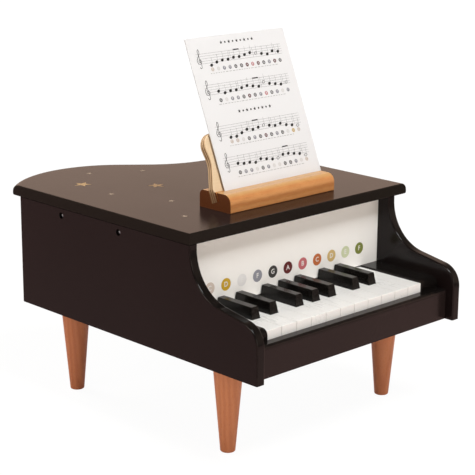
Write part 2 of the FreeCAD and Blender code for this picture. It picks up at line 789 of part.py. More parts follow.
def tone_bars(key_felts):
    """Rails under the lid, felt on their undersides, and eighteen bars that pins hold up against the felt."""
    rear_edge = f"({rail_line('+', 'keyboard_half')} + tone_rail_width / 2 - right_side_length - rim_lead)"
    rim_reach = (f"(case_half - shoulder_radius + sqrt((shoulder_radius - side_thickness) ^ 2 - {rear_edge} ^ 2)"
                 " - bottom_clearance)")
    ends = {"-": "inner_half", "+": rim_reach}
    names = {"-": "Front", "+": "Rear"}
    rails = [tone_rail_strip(f"{names[sign]}ToneRail", sign, "tone_rail_width", right,
                             "tone_rail_under", "tone_rail_height") for sign, right in ends.items()]
    felts = [tone_rail_strip(f"{names[sign]}BarFelt", sign, "bar_felt_width", right,
                             "bar_top", "felt_thickness") for sign, right in ends.items()]
    bars, pins, holes = [], [], []
    for index, note in enumerate(NOTES):
        x, length = note_line(index), note_bar_length(index)
        bars.append(new_box(f"Bar_{note}", f"{x} - bar_width / 2", f"hammer_head - {length} / 2", "bar_under",
                            "bar_width", length, "bar_thickness"))
        for sign in ends:
            y, name = rail_line(sign, x), f"{names[sign]}_{note}"
            reach = "bar_thickness + felt_thickness + pin_in_rail"
            shank = new_rod(f"PinShank{name}", "Z", "pin_radius", reach, x, y, "bar_under")
            head = new_rod(f"PinHead{name}", "Z", "pin_head_radius", "pin_head_height",
                           x, y, "bar_under - pin_head_height")
            pins.append(join(f"Pin{name}", shank, head))
            holes.append(new_rod(f"PinHole{name}", "Z", "pin_radius + pin_clearance",
                                 f"{reach} + overrun + pin_clearance", x, y, "bar_under - overrun"))
    pin_holes = group("PinHoles", holes)
    screw_holes = group("ScrewHoles", [
        screw_rod("ScrewHole", screw, "screw_radius + screw_clearance", "-overrun",
                  "side_thickness + screw_in_rail + screw_clearance") for screw in RAIL_SCREWS])
    drilled = cut("DrilledRails", group("Rails", rails), pin_holes)
    finish(cut("ToneBarRails", drilled, screw_holes), "tone_bar_rails")
    finish(cut("ToneBars", group("Bars", bars), pin_holes), "tone_bars")
    finish(group("ToneBarPins", pins), "tone_bar_pins")
    bar_felts = cut("BarFelts", group("PlainBarFelts", felts), pin_holes)
    finish(group("FeltStrips", key_felts + [bar_felts]), "felt_strips")


def panel_screws():
    screws = []
    for screw in RAIL_SCREWS:
        under_head = "screw_sink + screw_head_height"
        head = screw_rod("ScrewHead", screw, "screw_head_radius", "screw_sink", under_head)
        shank = screw_rod("ScrewShank", screw, "screw_radius", under_head, "side_thickness + screw_in_rail")
        screws.append(join(f"Screw_{screw}", head, shank))
    finish(group("PanelScrews", screws), "panel_screws")


# Music stand

def slot(setback, width, depth):
    """Corners of a leaning slot in the stand's end profile, from its front lip to its rear lip."""
    lean = "stand_lean"
    front_y, front_z = f"({setback} - {depth} * sin({lean}))", f"(stand_height - {depth} * cos({lean}))"
    return [
        (setback, "stand_height", "0"),
        (front_y, front_z, "0"),
        (f"{front_y} + {width} * cos({lean})", f"{front_z} - {width} * sin({lean})", "0"),
        (f"{setback} + {width} / cos({lean})", "stand_height", "0"),
    ]


def stand_base():
    body = new_body("stand_base", x="stand_offset - stand_length / 2", y="stand_front", z="lid_top")
    pad_outline(body, "profile", "YZ_Plane", [
        ("0", "0", "stand_foot_round"),
        ("0", "stand_height", "stand_front_round"),
        *slot("card_slot_setback", "(card_slot_width)", "card_slot_depth"),
        *slot("backrest_slot_setback", "(backrest_slot_width)", "backrest_slot_depth"),
        ("stand_depth", "stand_height", "stand_rear_round"),
        ("stand_depth", "0", "stand_foot_round"),
    ], "stand_length")


def lean_back(item):
    """Turn a flat piece so that its Y runs up the slope of the stand."""
    item.Placement = FreeCAD.Placement(FreeCAD.Vector(), FreeCAD.Rotation(FreeCAD.Vector(1, 0, 0), 90))
    item.setExpression("Placement.Rotation.Angle", formula("90 - stand_lean"))


def stand_backrest():
    """Board with waisted ends, set in the wide slot."""
    body = doc.addObject("PartDesign::Body", "Body_stand_backrest")
    lean_back(body)
    put_in_case(body, "stand_offset", "stand_front + backrest_slot_setback"
                " + (backrest_slot_width - backrest_fit) / cos(stand_lean)", "stand_top")
    foot = "-(backrest_slot_depth + (backrest_slot_width - backrest_fit) * tan(stand_lean) - backrest_fit)"
    right_side = [
        ("stand_length / 2", foot, "0"),
        ("stand_length / 2", "0", "0"),
        ("stand_length / 2 - backrest_waist_inset", "backrest_waist", "backrest_waist_radius"),
        ("stand_length / 2 - backrest_top_inset", "backrest_rise", "backrest_top_radius"),
    ]
    left_side = [(f"-({x})", y, radius) for x, y, radius in reversed(right_side)]
    pad_outline(body, "face", "XY_Plane", right_side + left_side, "backrest_thickness")
    round_edges(body, "edge_round", "backrest_edge_round",
                lambda middle, ends: all(point.y > TOLERANCE for point in ends)
                and (near(middle.z, 0) or near(middle.z, number("backrest_thickness"))))
    finish(body, "stand_backrest")


def song_card():
    """Card that stands in the narrow slot and lifts out along its slope."""
    card = doc.addObject("Part::Box", "SongCard")
    bind(card, Length="card_width", Width="card_height", Height="card_thickness")
    lean_back(card)
    down, back = "(card_slot_depth - card_fit)", "(card_slot_width - card_fit)"
    put_in_case(card, "card_offset - card_width / 2",
                "stand_front + card_slot_setback"
                f" - {down} * sin(stand_lean) + {back} * cos(stand_lean)",
                f"stand_top - {down} * cos(stand_lean) - {back} * sin(stand_lean)")
    finish(card, "song_card")


def build():
    left_side_panel()
    right_side_panel()
    rim()
    bottom_board()
    lid()
    front_rail()
    cheek_block("left_cheek_block", "-inner_half")
    cheek_block("right_cheek_block", "keyboard_half")
    name_panel()
    for label in LEGS:
        leg(label)
    leg_studs()
    for index in range(len(NOTES)):
        if is_sharp(index):
            black_key(index)
        else:
            white_key(index)
        hammer(index)
    rods()
    tone_bars(key_stops())
    panel_screws()
    stand_base()
    stand_backrest()
    song_card()


def write_parts():
    """Check every object, then write one file for each sub-part."""
    doc.recompute()
    for item in doc.Objects:
        if "Invalid" in item.State or "Error" in item.State:
            raise RuntimeError(f"{item.Label} failed: {item.State}")
    for node in nodes:
        if node.Shape.isNull() or not node.Shape.isValid() or not node.Shape.Solids:
            raise RuntimeError(f"{node.Label} has no valid solid")
    os.makedirs("parts", exist_ok=True)
    for node in nodes:
        node.Shape.exportStep(f"parts/{node.Label}.step")
    print(len(nodes), "nodes,", sum(len(node.Shape.Solids) for node in nodes), "solids")
    print("key swing", number("key_swing"), "hammer swing", number("hammer_swing"))
    print("case at", number("case_x"), number("case_y"), "depth", number("depth"))


build()
write_parts()
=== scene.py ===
"""Looks of a toy grand piano: dark paint, beech, lacquered keys, printed dots and stars, and a song card."""
import json
import math
import random

import bmesh
import bpy
from mathutils import Matrix, Vector


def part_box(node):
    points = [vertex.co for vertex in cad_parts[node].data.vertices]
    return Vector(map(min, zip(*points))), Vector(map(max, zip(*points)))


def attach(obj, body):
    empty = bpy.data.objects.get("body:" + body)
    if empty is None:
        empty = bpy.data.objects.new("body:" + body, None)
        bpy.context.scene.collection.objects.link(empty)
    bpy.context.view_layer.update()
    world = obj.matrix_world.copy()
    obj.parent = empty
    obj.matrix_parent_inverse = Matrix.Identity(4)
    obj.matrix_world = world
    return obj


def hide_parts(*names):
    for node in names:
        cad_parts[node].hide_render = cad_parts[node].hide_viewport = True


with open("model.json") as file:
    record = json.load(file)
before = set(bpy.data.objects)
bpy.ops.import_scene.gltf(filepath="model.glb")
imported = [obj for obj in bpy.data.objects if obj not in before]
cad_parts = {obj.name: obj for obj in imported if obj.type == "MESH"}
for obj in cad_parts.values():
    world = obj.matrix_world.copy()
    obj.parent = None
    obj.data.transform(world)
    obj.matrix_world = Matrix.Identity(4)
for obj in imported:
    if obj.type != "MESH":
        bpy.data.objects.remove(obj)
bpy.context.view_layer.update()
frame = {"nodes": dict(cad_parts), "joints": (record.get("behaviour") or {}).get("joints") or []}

MM = 0.001
X, Y, Z = 0, 1, 2

# Camera: its place in metres, its angles in degrees and its lens in millimetres
CAMERA_PLACE = Vector((-1.10644, -1.15338, 0.60378))
CAMERA_TURN = -44.089
CAMERA_TILT = 15.119
CAMERA_ROLL = 0.37
CAMERA_LENS = 115.47

# Printed marks, in millimetres. A star has its place across and up, and its turn in degrees
INK = 0.06
DOT_RADIUS = 6.5
DOT_SEGMENTS = 64
DOT_FIRST = -120.5
DOT_PITCH = 22.23
DOT_LEVEL = 160.5
LETTER_SIZE = 7.2
LETTER_WEIGHT_SHARE = 0.02
LETTERS = "CDEFGABCDEF"
LARGE_STARS = [(-106.0, 121.6, 12), (-50.3, 63.5, 50)]
SMALL_STARS = [
    (-67.2, 158.8, 5), (-13.6, 129.5, 30), (-111.7, 65.8, 62), (-85.2, 0.0, 20), (-118.0, -57.0, 48),
]
LARGE_STAR_RADIUS = 9.8
SMALL_STAR_RADIUS = 3.9
STAR_POINTS = 5
STAR_INNER_SHARE = 0.42

# Screws: the least distance between two of them in metres, the turned profile and the arms of the cross as
# shares of the head's radius, and the turns of the arms in degrees
SCREW_SPACING = 0.02
SCREW_SHARES = [
    (0.0, -0.16), (0.22, -0.18), (0.42, -0.25), (0.60, -0.37), (0.75, -0.53), (0.86, -0.74), (0.5, -0.74),
    (0.5, -5.6), (0.0, -6.2),
]
SCREW_STEPS = 48
SCREW_MERGE_SHARE = 0.001
CROSS_SHARES = (1.15, 0.22, 0.7)
CROSS_TURNS = (35, 125)

# Printed card, in millimetres from its lower left corner
STAFF_LEFT = 9.5
STAFF_RIGHT = 132.5
STAFF_SPACE = 2.6
STAFF_LEVELS = [146.5, 113.5, 69.5, 36.5]
TITLE_LEVELS = [161.2, 87.0]
CLEF_INSET_SHARE = 1.3
FIRST_NOTE_INSET = 18
LAST_NOTE_INSET = 6

# Each staff's notes as steps above its lowest C, the two that share a beam, and those with open heads
TUNES = [
    [0, 2, 3, 3, 4, 4, 5, 6, 5, 4, 3, 5, 4],
    [4, 2, 3, 3, 4, 5, 4, 3, 6, 4, 3, 2, 3],
    [0, 0, 2, 4, 3, 4, 5, 4, 3, 4, 2, 1, 0],
    [4, 3, 3, 2, 4, 3, 2, 2, 4, 4, 3, 2, 0],
]
BEAMED = [(4, 5), (6, 7), (4, 5), (8, 9)]
HOLLOW = [(8,), (8, 12), (6, 12), (7, 12)]
LOWEST_LINE_STEP = 2
BAR_LINES_AFTER = (3, 7, 11)

# Pen strokes, note heads, dots, dashes and ornaments, in millimetres and degrees
LINE_WIDTH = 0.2
LEDGER_SHARE = 1.7
BEAM_SHARE = 0.5
STEM_LENGTH = 8.8
HEAD_HALF_LENGTH = 2.1
HEAD_HALF_HEIGHT = 1.6
HEAD_TURN = 22
HEAD_SEGMENTS = 20
OPEN_SHARE = 0.72
CARD_DOT_RADIUS = 2.1
CARD_DOT_SEGMENTS = 28
CARD_DOT_SHARE = 0.78
CARD_DOT_DROP = 7.0
CARD_LETTER_SIZE = 3.3
DASH_SEED = 4
DASH_DROP = 11.4
DASH_INSET = 14
DASH_LENGTHS = (1.4, 3.8)
DASH_GAP = 1.6
DASH_WIDTH = 0.4
ORNAMENTS_ASIDE = 4
ORNAMENT_PITCH = 5.6
ORNAMENT_RADIUS = 2.1
ORNAMENT_SEGMENTS = 20

# Wood: shifts in metres that bring the growth rings' hearts to zero, and plies and the slot's painted shade in
# millimetres
LEG_HEART_SHIFT = (0.05, 0.31, 0)
STAND_HEART_SHIFT = (0, 0.03, -0.19)
PLY_PAIR = 2.7
SLOT_SHADE_ABOVE = 2
SLOT_SHADE_BELOW = 4

# Lamps: place and size in metres, watts, tone, and whether the lamp shows in gloss
COOL = (0.96, 0.99, 1.0)
WARM = (1.0, 0.89, 0.79)
LAMP_AIM = (0, 0, 0.15)
LAMPS = {
    "key_softbox": ((-0.05, -1.36, 2.48), 0.8, 57, COOL, True),
    "left_softbox": ((-2.2, 0.3, 1.1), 1.0, 13, WARM, True),
    "low_softbox": ((-0.1, -2.2, 0.75), 0.9, 8, WARM, True),
    "back_softbox": ((-0.3, 2.3, 1.2), 1.2, 38, COOL, False),
}

# Floor and room: half the floor's size in metres, its strength, the camera's level way, and the room's light
FLOOR_HALF_SIZE = 9
FLOOR_WHITE = 1.03
WHITE = (1, 1, 1, 1)
CAMERA_WAY = (0.69, 0.72)
ROOM_FILL = 0.17


def srgb(red, green, blue):
    """Colour written as it looks on a screen."""
    def linear(byte):
        share = byte / 255
        return share / 12.92 if share <= 0.04045 else ((share + 0.055) / 1.055) ** 2.4
    return (linear(red), linear(green), linear(blue), 1.0)


NOTE_COLOURS = {
    "beige": srgb(222, 205, 192),
    "mustard": srgb(214, 171, 38),
    "mist": srgb(240, 237, 235),
    "grey": srgb(152, 152, 161),
    "charcoal": srgb(58, 57, 55),
    "maroon": srgb(100, 22, 22),
    "rose": srgb(206, 112, 116),
    "orange": srgb(202, 112, 60),
    "tan": srgb(218, 186, 120),
    "pale_green": srgb(216, 222, 182),
    "olive": srgb(128, 136, 60),
}
CARD_COLOURS = list(NOTE_COLOURS)[:1 + max(max(tune) for tune in TUNES)]


class Shade:
    """One socket of a node tree. Sums and products of values add Math nodes, and node() adds the others."""

    def __init__(self, socket):
        self.socket = socket
        self.tree = socket.id_data

    def node(self, kind, settings=None, inputs=None, output=0):
        """Add a node: its settings first, then its sockets' values or links. Gives one of its outputs."""
        made = self.tree.nodes.new(kind)
        for name, setting in (settings or {}).items():
            setattr(made, name, setting)
        for name, value in (inputs or {}).items():
            if isinstance(value, Shade):
                self.tree.links.new(value.socket, made.inputs[name])
            else:
                made.inputs[name].default_value = value
        return Shade(made.outputs[output]) if made.outputs else None

    def math(self, operation, *others):
        return self.node("ShaderNodeMath", {"operation": operation}, dict(enumerate((self, *others))))

    def __add__(self, other):
        return self.math("ADD", other)

    def __sub__(self, other):
        return self.math("SUBTRACT", other)

    def __rsub__(self, other):
        return self.node("ShaderNodeMath", {"operation": "SUBTRACT"}, {0: other, 1: self})

    def __mul__(self, other):
        return self.math("MULTIPLY", other)

    __radd__ = __add__
    __rmul__ = __mul__

    def __abs__(self):
        return self.math("ABSOLUTE")

    def axis(self, index):
        """One part of a vector."""
        return self.node("ShaderNodeSeparateXYZ", None, {0: self}, index)

    def moved(self, offset=(0, 0, 0), turn=(0, 0, 0), scale=(1, 1, 1)):
        """Coordinates after a Mapping node."""
        return self.node("ShaderNodeMapping", None,
                         {"Vector": self, "Location": offset, "Rotation": turn, "Scale": scale})

    def noise(self, scale, detail=2.0, roughness=0.5, distortion=0.0):
        return self.node("ShaderNodeTexNoise", None, {"Vector": self, "Scale": scale, "Detail": detail,
                                                      "Roughness": roughness, "Distortion": distortion})

    def step(self, low, high):
        """Smooth rise from 0 to 1 between two values."""
        return self.node("ShaderNodeMapRange", {"interpolation_type": "SMOOTHSTEP"},
                         {"Value": self, "From Min": low, "From Max": high})

    def blend(self, first, second):
        """Mix of two colours, this value being the share of the second."""
        return self.node("ShaderNodeMix", {"data_type": "RGBA"}, {0: self, 6: first, 7: second}, 2)

    def bump(self, strength, distance):
        """Surface normal of this height."""
        return self.node("ShaderNodeBump", None,
                         {"Height": self, "Strength": strength, "Distance": distance})


def facing(place, axis):
    """How squarely a surface faces along one axis of the piece, from 0 to 1."""
    return abs(place.node("ShaderNodeTexCoord", None, None, "Normal").axis(axis))


def rounded_edge(place, axis):
    """1 where an edge is rounded between faces square to an axis and faces along it, 0 on those faces."""
    lean = facing(place, axis)
    return lean * (1 - lean) * 4


def stretched(place, axis, share):
    """Coordinates for a figure drawn out along one axis."""
    scale = [1.0, 1.0, 1.0]
    scale[axis] = share
    return place.moved(scale=scale)


def material(name, recipe):
    """Material whose recipe takes the piece's own coordinates and gives the shader's inputs."""
    made = bpy.data.materials.new(name)
    made.use_nodes = True
    made.node_tree.nodes.clear()
    place = Shade(made.node_tree.nodes.new("ShaderNodeTexCoord").outputs["Object"])
    shader = place.node("ShaderNodeBsdfPrincipled", None, recipe(place))
    place.node("ShaderNodeOutputMaterial", None, {"Surface": shader})
    return made


# Finishes

def case_paint(axis, roughness, light, dark, edge, index=1.3, across=True):
    """Satin brown-black paint with a slight orange peel and a faint grain. The broad faces lie across an axis
    or along it. The sealed edges are blacker, and rubbed a little lighter where they are rounded."""
    def recipe(place):
        broad = facing(place, axis).step(0.6, 0.95)
        if not across:
            broad = 1 - broad
        cloud = place.noise(7, 3)
        peel = place.noise(480, 2)
        grain = stretched(place, Y, 0.05).noise(300, 3)
        dust = place.noise(1900, 1).step(0.74, 0.82)
        rub = rounded_edge(place, axis) * place.noise(160, 4).step(0.44, 0.70)
        colour = cloud.blend(dark, light)
        colour = broad.blend(edge, colour)
        colour = (rub * 0.05).blend(colour, srgb(104, 86, 76))
        colour = (dust * 0.06).blend(colour, srgb(150, 138, 128))
        return {
            "Base Color": colour,
            "Roughness": cloud * 0.08 + grain * 0.04 + dust * 0.10 + roughness,
            "Normal": (peel * 0.7 + grain * 0.3).bump(0.012, 0.3 * MM),
            "IOR": index,
        }
    return recipe


def panel_white(place):
    """Off-white paint, rolled, with a faint stipple."""
    cloud = place.noise(10, 3)
    stipple = place.noise(700, 3)
    return {
        "Base Color": cloud.blend(srgb(253, 250, 246), srgb(250, 246, 241)),
        "Roughness": cloud * 0.12 + stipple * 0.08 + 0.36,
        "Normal": stipple.bump(0.08, 0.3 * MM),
    }


def key_white(place):
    """White lacquer with faint handling swirls, its fronts painted lighter as painted light, and painted shade
    on its sides down in the gaps.
    """
    cloud = place.noise(18, 3)
    swirl = stretched(place, Y, 0.15).noise(420, 3)
    side = facing(place, X).step(0.5, 0.95)
    front = facing(place, Y).step(0.7, 0.95)
    colour = cloud.blend(srgb(248, 246, 243), srgb(242, 240, 237))
    # Painted light: the front faces are painted lighter than the tops.
    colour = front.blend(colour, srgb(255, 251, 248))
    return {
        # Painted shade: the key sides, facing each other down in the gaps, are painted darker.
        "Base Color": (side * 0.20).blend(colour, srgb(176, 164, 152)),
        "Roughness": cloud * 0.08 + swirl * 0.05 + 0.22,
        "Normal": swirl.bump(0.015, 0.3 * MM),
    }


def key_black(place):
    """Black paint, scuffed a little along the tops of the keys, the lighter scuffs on the tops also being a
    painted sheen.
    """
    cloud = place.noise(60, 3)
    scuff = stretched(place, Y, 0.2).noise(380, 4)
    top = facing(place, Z).step(0.8, 0.98)
    rub = rounded_edge(place, Z) * scuff.step(0.38, 0.62)
    colour = cloud.blend(srgb(14, 12, 11), srgb(20, 18, 16))
    # Scuffs on the tops, also a painted sheen: up-facing faces painted lighter in patches.
    colour = (top * scuff * 0.16).blend(colour, srgb(62, 58, 54))
    return {
        "Base Color": (rub * 0.08).blend(colour, srgb(92, 88, 82)),
        "Roughness": scuff * 0.12 + cloud * 0.06 + 0.14,
        "Normal": (scuff + cloud).bump(0.03, 0.3 * MM),
        "IOR": 1.3,
    }


def beech(along, light, dark, end_tone, heart_shift):
    """Lacquered beech: growth rings about a heart outside the piece, fibres, short dark ray flecks, and tops
    painted yellower, a painted reflection of the light from above."""
    def recipe(place):
        drift = stretched(place, along, 0.12).noise(16, 2)
        centred = place.moved(offset=heart_shift)
        rings = centred.node("ShaderNodeTexWave", {"wave_type": "RINGS", "rings_direction": "XYZ"[along]},
                             {"Vector": centred, "Scale": 62.0, "Distortion": 1.6, "Detail": 2.0,
                              "Detail Scale": 1.4}, 1)
        fibres = stretched(place, along, 0.035).noise(1500, 3, 0.6)
        flecks = stretched(place, along, 0.12).noise(2300, 1).step(0.66, 0.74)
        end = facing(place, along).step(0.75, 0.97)
        top = facing(place, Z).step(0.55, 0.95)
        figure = rings * 0.16 + drift * 0.52 + fibres * 0.36
        colour = figure.step(0.22, 0.84).blend(light, dark)
        # Painted reflection: up-facing faces are painted yellower for the light they would reflect from above.
        colour = (top * 0.40).blend(colour, srgb(214, 182, 122))
        colour = (flecks * 0.34 * (1 - end)).blend(colour, srgb(122, 66, 34))
        return {
            "Base Color": end.blend(colour, end_tone),
            "Roughness": fibres * 0.14 + flecks * 0.06 + 0.22,
            "Normal": (fibres * 0.7 + flecks * -0.5).bump(0.14, 0.25 * MM),
        }
    return recipe


def plywood(lean, slot_shade_level):
    """Pale plywood on a slope: long-grained faces, plies along the cut edges, and painted shade on the plies
    below a level, where they go down into the base's slot.
    """
    def recipe(place):
        flat = place.moved(turn=(lean, 0, 0))
        ply = flat.axis(Y)
        face = place.node("ShaderNodeTexCoord", None, None, "Normal")
        tilted = abs(face.moved(turn=(lean, 0, 0)).axis(Y)).step(0.55, 0.9)
        fibres = stretched(flat, X, 0.03).noise(900, 3, 0.6)
        drift = stretched(flat, X, 0.12).noise(30, 2)
        stripes = (ply * (2 * math.pi / (PLY_PAIR * MM))).math("SINE").step(-0.25, 0.25)
        veneer = (fibres * 0.55 + drift * 0.45).blend(srgb(234, 210, 178), srgb(216, 184, 142))
        plies = stripes.blend(srgb(228, 196, 154), srgb(150, 112, 74))
        # Painted shade: the plies are painted darker below the base's top, down in its slot.
        slot_shade = place.axis(Z).step(slot_shade_level + SLOT_SHADE_ABOVE * MM, slot_shade_level - SLOT_SHADE_BELOW * MM)
        plies = (slot_shade * 0.6).blend(plies, srgb(112, 68, 36))
        return {
            "Base Color": tilted.blend(plies, veneer),
            "Roughness": fibres * 0.15 + 0.36,
            "Normal": (fibres + stripes * 0.6 * (1 - tilted)).bump(0.14, 0.25 * MM),
        }
    return recipe


def planed_wood(place):
    """Plain softwood of the pieces inside the case."""
    fibres = stretched(place, X, 0.05).noise(700, 3, 0.6)
    drift = place.noise(24, 2)
    return {
        "Base Color": (fibres * 0.6 + drift * 0.4).blend(srgb(222, 188, 142), srgb(176, 134, 88)),
        "Roughness": fibres * 0.2 + 0.5,
        "Normal": fibres.bump(0.2, 0.3 * MM),
    }


def steel(tone, roughness):
    """Drawn steel with fine lines and a cloudy film of oil."""
    def recipe(place):
        lines = stretched(place, X, 0.02).noise(2600, 2)
        film = place.noise(45, 3)
        return {
            "Base Color": (film * 0.5).blend(tone, srgb(92, 90, 88)),
            "Metallic": 1.0,
            "Roughness": lines * 0.15 + film * 0.12 + roughness,
            "Normal": lines.bump(0.08, 0.1 * MM),
        }
    return recipe


def felt(place):
    """Pressed wool felt."""
    wool = place.noise(1500, 5, 0.7)
    return {
        "Base Color": wool.blend(srgb(150, 40, 40), srgb(104, 22, 24)),
        "Roughness": 0.95,
        "Normal": wool.bump(0.6, 0.5 * MM),
        "Sheen Weight": 0.3,
    }


def card_stock(place):
    """Matt white card with a faint fibre."""
    fibre = place.noise(900, 5, 0.65)
    cloud = place.noise(14, 2)
    return {
        "Base Color": (cloud * 0.6 + fibre * 0.3).blend(srgb(229, 228, 229), srgb(223, 222, 223)),
        "Roughness": fibre * 0.15 + 0.60,
        "Normal": fibre.bump(0.06, 0.2 * MM),
    }


def ink(colour, shine=0.45):
    """Printing ink, a little uneven."""
    def recipe(place):
        speck = place.noise(1400, 3)
        thin = place.noise(110, 2)
        darker = tuple(part * 0.86 for part in colour[:3]) + (1.0,)
        return {
            "Base Color": (speck * 0.5 + thin * 0.5).blend(colour, darker),
            "Roughness": speck * 0.15 + shine,
            "Normal": speck.bump(0.05, 0.1 * MM),
        }
    return recipe


def gold_leaf(colour):
    """Dull metallic print, worn thin in places."""
    def recipe(place):
        worn = place.noise(500, 4).step(0.50, 0.72)
        return {
            "Base Color": (worn * 0.45).blend(colour, srgb(70, 52, 36)),
            "Metallic": 0.35,
            "Roughness": worn * 0.2 + 0.36,
        }
    return recipe


# Flat drawings, made in millimetres across and up, then laid on a surface

def laid_on(origin, across, up):
    """Matrix that lays a flat drawing on a surface, with its thickness outwards."""
    turned = Matrix((across, up, across.cross(up))).transposed().to_4x4()
    return Matrix.Translation(origin) @ turned @ Matrix.Scale(MM, 4)


def bar(shape, left, low, right, high):
    """Thin straight mark."""
    size = (right - left, high - low, INK)
    middle = ((left + right) / 2, (low + high) / 2, INK / 2)
    bmesh.ops.create_cube(shape, size=1, matrix=Matrix.Translation(middle) @ Matrix.Diagonal((*size, 1)))


def disc(shape, across, up, half_length, half_height, segments, turn=0.0, base=0.0):
    """Thin round or oval mark."""
    middle = (across, up, base + INK / 2)
    place = Matrix.Translation(middle) @ Matrix.Rotation(math.radians(turn), 4, "Z")
    bmesh.ops.create_cone(shape, cap_ends=True, segments=segments, radius1=1, radius2=1, depth=1,
                          matrix=place @ Matrix.Diagonal((half_length, half_height, INK, 1)))


def star(shape, across, up, radius, turn):
    """Thin star: a plate with twice as many corners as points, every other one drawn in."""
    made = bmesh.ops.create_cone(shape, cap_ends=True, segments=2 * STAR_POINTS,
                                 radius1=radius, radius2=radius, depth=INK)
    step = math.pi / STAR_POINTS
    for corner in made["verts"]:
        if round(math.atan2(corner.co.x, corner.co.y) / step) % 2:
            corner.co.x *= STAR_INNER_SHARE
            corner.co.y *= STAR_INNER_SHARE
    place = Matrix.Translation((across, up, INK / 2)) @ Matrix.Rotation(math.radians(turn), 4, "Z")
    bmesh.ops.transform(shape, matrix=place, verts=made["verts"])


def letter(shape, text, across, up, size):
    """Thin printed letter on top of a dot, centred on its place."""
    curve = bpy.data.curves.new("letter", "FONT")
    curve.body = text
    curve.size = size
    curve.offset = LETTER_WEIGHT_SHARE * size
    curve.extrude = INK / 2
    curve.align_x = "CENTER"
    curve.align_y = "CENTER"
    holder = bpy.data.objects.new("letter", curve)
    outline = bpy.data.meshes.new_from_object(holder)
    outline.transform(Matrix.Translation((across, up, INK + INK / 2)))
    shape.from_mesh(outline)
    bpy.data.objects.remove(holder)
    bpy.data.curves.remove(curve)
    bpy.data.meshes.remove(outline)


def piece(name, shape, body, finish, matrix=None):
    """Finished object made from a bmesh, riding on a body."""
    if matrix is not None:
        bmesh.ops.transform(shape, matrix=matrix, verts=shape.verts)
    bmesh.ops.recalc_face_normals(shape, faces=shape.faces)
    mesh = bpy.data.meshes.new(name)
    shape.to_mesh(mesh)
    shape.free()
    mesh.materials.append(finish)
    made = bpy.data.objects.new(name, mesh)
    bpy.context.scene.collection.objects.link(made)
    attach(made, body)
    return made


# Marks on the white panel and the lid

def note_dots():
    """A coloured dot with its letter above each white key."""
    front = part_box("name_panel")[0].y
    lay = laid_on(Vector((0, front, 0)), Vector((1, 0, 0)), Vector((0, 0, 1)))
    letters = bmesh.new()
    for index, (name, colour) in enumerate(NOTE_COLOURS.items()):
        across = DOT_FIRST + index * DOT_PITCH
        dot = bmesh.new()
        disc(dot, across, DOT_LEVEL, DOT_RADIUS, DOT_RADIUS, DOT_SEGMENTS)
        piece(f"note_dot_{index + 1}_{name}", dot, "case", inks[name], lay)
        letter(letters, LETTERS[index], across, DOT_LEVEL, LETTER_SIZE)
    piece("note_letters", letters, "case", inks["white"], lay)


def lid_stars():
    """Small printed stars scattered over the left of the lid."""
    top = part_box("lid")[1].z
    lay = laid_on(Vector((0, 0, top)), Vector((1, 0, 0)), Vector((0, 1, 0)))
    for name, stars, radius, finish in (("large", LARGE_STARS, LARGE_STAR_RADIUS, star_gold),
                                        ("small", SMALL_STARS, SMALL_STAR_RADIUS, star_pale)):
        shape = bmesh.new()
        for across, up, turn in stars:
            star(shape, across, up, radius, turn)
        piece(f"lid_stars_{name}", shape, "case", finish, lay)


# Screws

def screw_places():
    """Each screw's head: the wall's side, the middle of the head's outer face, and its radius."""
    corners = [vertex.co for vertex in frame["nodes"]["panel_screws"].data.vertices]
    level = sum(corner.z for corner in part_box("panel_screws")) / 2
    for side in (-1, 1):
        group = []
        wall = sorted((corner for corner in corners if corner.x * side > 0), key=lambda corner: corner.y)
        for corner, following in zip(wall, wall[1:] + [None]):
            group.append(corner)
            if following is None or following.y - corner.y > SCREW_SPACING:
                face = max(corner.x * side for corner in group) * side
                radius = (group[-1].y - group[0].y) / 2
                yield side, Vector((face, group[0].y + radius, level)), radius
                group = []


def turned_screw(shape):
    """Screw turned about Z from its profile of radius and height, for a plain head of radius 1."""
    points = [shape.verts.new((radius, 0, height)) for radius, height in SCREW_SHARES]
    edges = [shape.edges.new(pair) for pair in zip(points, points[1:])]
    bmesh.ops.spin(shape, geom=points + edges, cent=(0, 0, 0), axis=(0, 0, 1), steps=SCREW_STEPS,
                   angle=2 * math.pi, use_merge=True)
    bmesh.ops.remove_doubles(shape, verts=shape.verts, dist=SCREW_MERGE_SHARE)


def cut_away(made, cutter_shape):
    """Take a shape out of an object."""
    mesh = bpy.data.meshes.new("cutter")
    cutter_shape.to_mesh(mesh)
    cutter_shape.free()
    cutter = bpy.data.objects.new("cutter", mesh)
    bpy.context.scene.collection.objects.link(cutter)
    trim = made.modifiers.new("recess", "BOOLEAN")
    trim.object = cutter
    trim.use_self = True
    whole = bpy.data.meshes.new_from_object(made.evaluated_get(bpy.context.evaluated_depsgraph_get()))
    made.modifiers.clear()
    made.data = whole
    bpy.data.objects.remove(cutter)


def cross_screws():
    """Domed cross-head screws, down in the sunk holes of the side walls."""
    screws, recesses = bmesh.new(), bmesh.new()
    for side, face, radius in screw_places():
        outwards = Matrix.Rotation(side * math.pi / 2, 4, "Y")
        lay = Matrix.Translation(face) @ outwards @ Matrix.Scale(radius, 4)
        screw = bmesh.new()
        turned_screw(screw)
        bmesh.ops.transform(screw, matrix=lay, verts=screw.verts)
        mesh = bpy.data.meshes.new("screw")
        screw.to_mesh(mesh)
        screw.free()
        screws.from_mesh(mesh)
        bpy.data.meshes.remove(mesh)
        for turn in CROSS_TURNS:
            arm = Matrix.Rotation(math.radians(turn), 4, "Z") @ Matrix.Diagonal((*CROSS_SHARES, 1))
            bmesh.ops.create_cube(recesses, size=1, matrix=lay @ arm)
    made = piece("cross_screws", screws, "case", bright_screw)
    cut_away(made, recesses)
    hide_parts("panel_screws")


# Printed card

